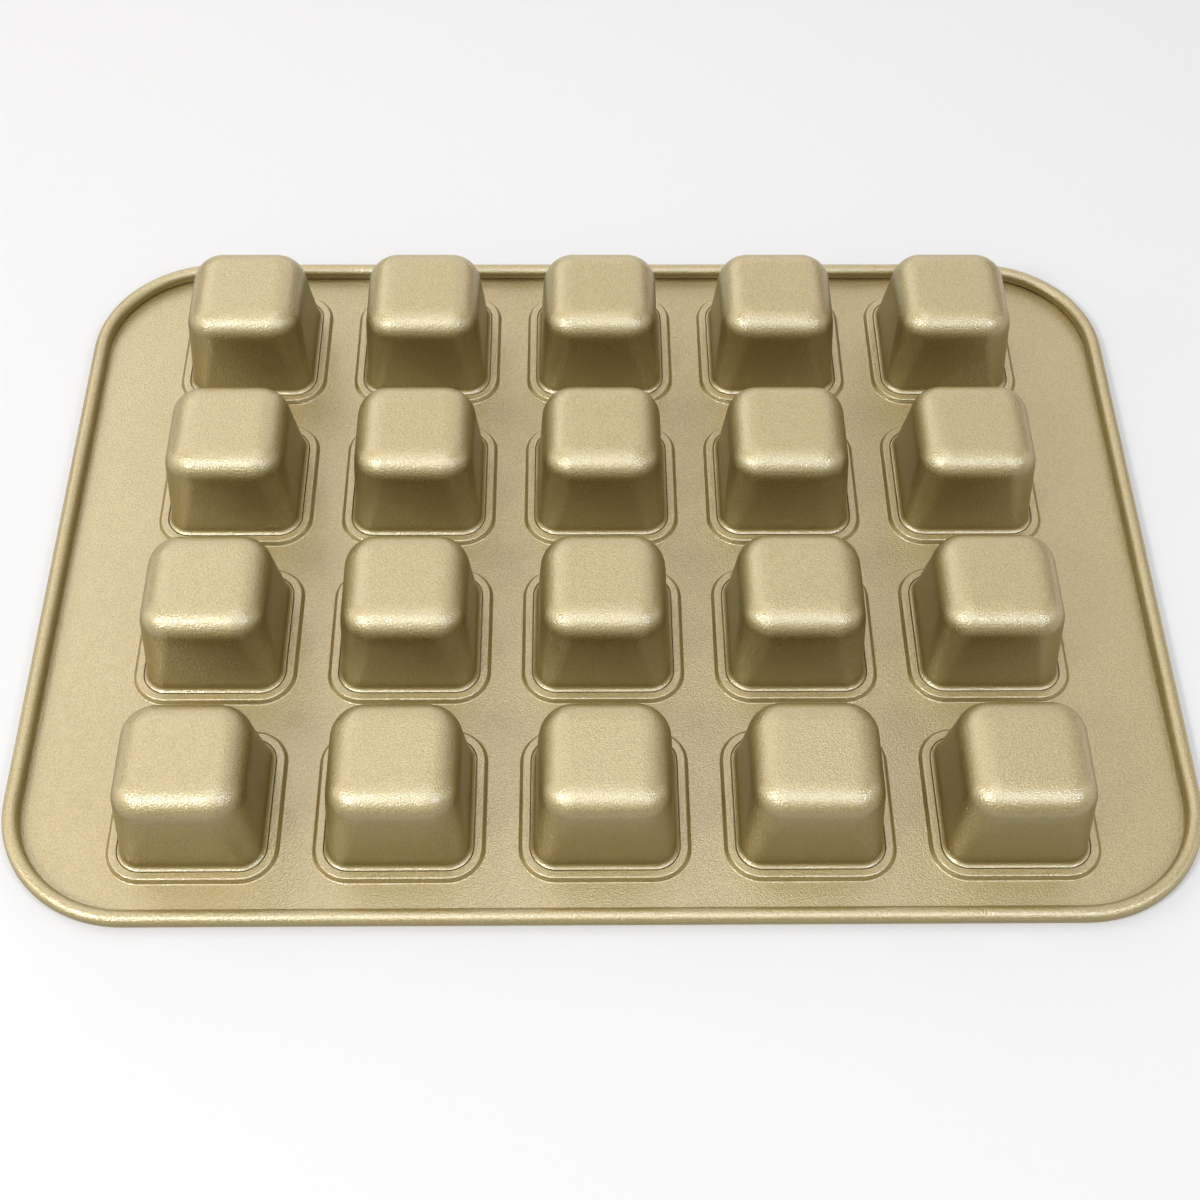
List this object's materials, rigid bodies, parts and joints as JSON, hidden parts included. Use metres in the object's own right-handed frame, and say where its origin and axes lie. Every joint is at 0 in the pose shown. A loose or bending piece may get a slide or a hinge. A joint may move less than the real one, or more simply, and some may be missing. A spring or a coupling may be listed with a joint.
{
  "type": "mini brownie pan",
  "caption": "Rectangular baking tray with a grid of square drawn cups lock-seamed into it and a rolled, wired rim, in satin champagne-gold non-stick, lying cup bases up.",
  "frame": {"origin": "middle of the pan, on the plane of the tray's flat mouth face, which it lies on as pictured", "axes": "+X along a row of cups, the long side; +Y from the front row to the back row; +Z from the mouth face towards the cup bases, up as pictured and down when the pan is baked in"},
  "size_m": [0.3542, 0.2582, 0.0332],
  "materials": {
    "gold_coating": "satin champagne-gold non-stick with a fine metallic sparkle",
    "wire_steel": "drawn wire, plain"
  },
  "bodies": {
    "root": {"tray_frame": "gold_coating", "rim_wire": "wire_steel", "cup_r1_c1": "gold_coating", "cup_r1_c2": "gold_coating", "cup_r1_c3": "gold_coating", "cup_r1_c4": "gold_coating", "cup_r1_c5": "gold_coating", "cup_r2_c1": "gold_coating", "cup_r2_c2": "gold_coating", "cup_r2_c3": "gold_coating", "cup_r2_c4": "gold_coating", "cup_r2_c5": "gold_coating", "cup_r3_c1": "gold_coating", "cup_r3_c2": "gold_coating", "cup_r3_c3": "gold_coating", "cup_r3_c4": "gold_coating", "cup_r3_c5": "gold_coating", "cup_r4_c1": "gold_coating", "cup_r4_c2": "gold_coating", "cup_r4_c3": "gold_coating", "cup_r4_c4": "gold_coating", "cup_r4_c5": "gold_coating"}
  },
  "joints": []
}
